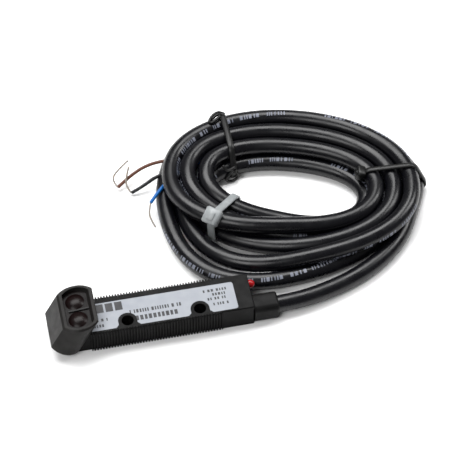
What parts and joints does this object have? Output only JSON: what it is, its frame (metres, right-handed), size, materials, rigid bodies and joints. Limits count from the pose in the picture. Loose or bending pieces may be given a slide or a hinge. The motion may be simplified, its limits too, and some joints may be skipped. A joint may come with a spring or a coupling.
{
  "type": "photoelectric sensor",
  "caption": "Slim right-angle photoelectric sensor: ribbed bar housing with a leaning lens head, strain relief and a coiled three-wire cable.",
  "frame": {"origin": "under the middle of the two mounting holes' line along X, on the resting face; it is the bottom centre of the sensor without its cable", "axes": "+X along the bar from the lens head to the cable outlet, +Z out of the label face, +Y from the mounting holes' side to the indicator's side"},
  "size_m": [0.1442, 0.094, 0.0161],
  "materials": {
    "housing": "satin black moulded plastic",
    "hood": "satin black moulded plastic",
    "back_cover": "matte black moulded plastic",
    "label": "printed polyester film",
    "window": "polished dark red acrylic",
    "lens": "polished tinted acrylic",
    "film": "polarizing film",
    "carrier": "matte black moulded plastic",
    "emitter": "clear epoxy",
    "receiver": "dark epoxy",
    "indicator": "translucent red epoxy",
    "board": "solder-masked glass-epoxy",
    "flex": "polyimide film",
    "chip": "moulded epoxy",
    "ceramic": "ceramic",
    "potting": "cast epoxy",
    "strain_relief": "moulded rubber",
    "jacket": "semi-gloss black PVC",
    "wire_brown": "satin PVC",
    "wire_black": "satin PVC",
    "wire_blue": "satin PVC",
    "copper": "tinned copper strands",
    "tie_white": "natural nylon",
    "tie_black": "black nylon"
  },
  "bodies": {
    "root": {"housing": "housing", "back_cover": "back_cover", "label": "label", "head_hood": "hood", "lens_plate": "window", "emitter_lens": "lens", "receiver_lens": "lens", "emitter_polarizer": "film", "receiver_polarizer": "film", "optics_carrier": "carrier", "optics_board": "board", "emitter_led": "emitter", "receiver_diode": "receiver", "light_barrier": "carrier", "circuit_board": "board", "control_chip": "chip", "output_transistor": "chip", "voltage_regulator": "chip", "capacitor": "ceramic", "zener_diode": "chip", "chip_resistors": "ceramic", "head_flex": "flex", "indicator_led": "indicator", "strain_relief": "strain_relief", "inner_wire_brown": "wire_brown", "inner_wire_black": "wire_black", "inner_wire_blue": "wire_blue", "potting": "potting", "cable_coil": "jacket", "cable_lead": "jacket", "cable_tie": "tie_white", "bundle_tie_left": "tie_black", "bundle_tie_right": "tie_black", "wire_brown": "wire_brown", "wire_black": "wire_black", "wire_blue": "wire_blue", "conductor_brown": "copper", "conductor_black": "copper", "conductor_blue": "copper"}
  },
  "joints": []
}
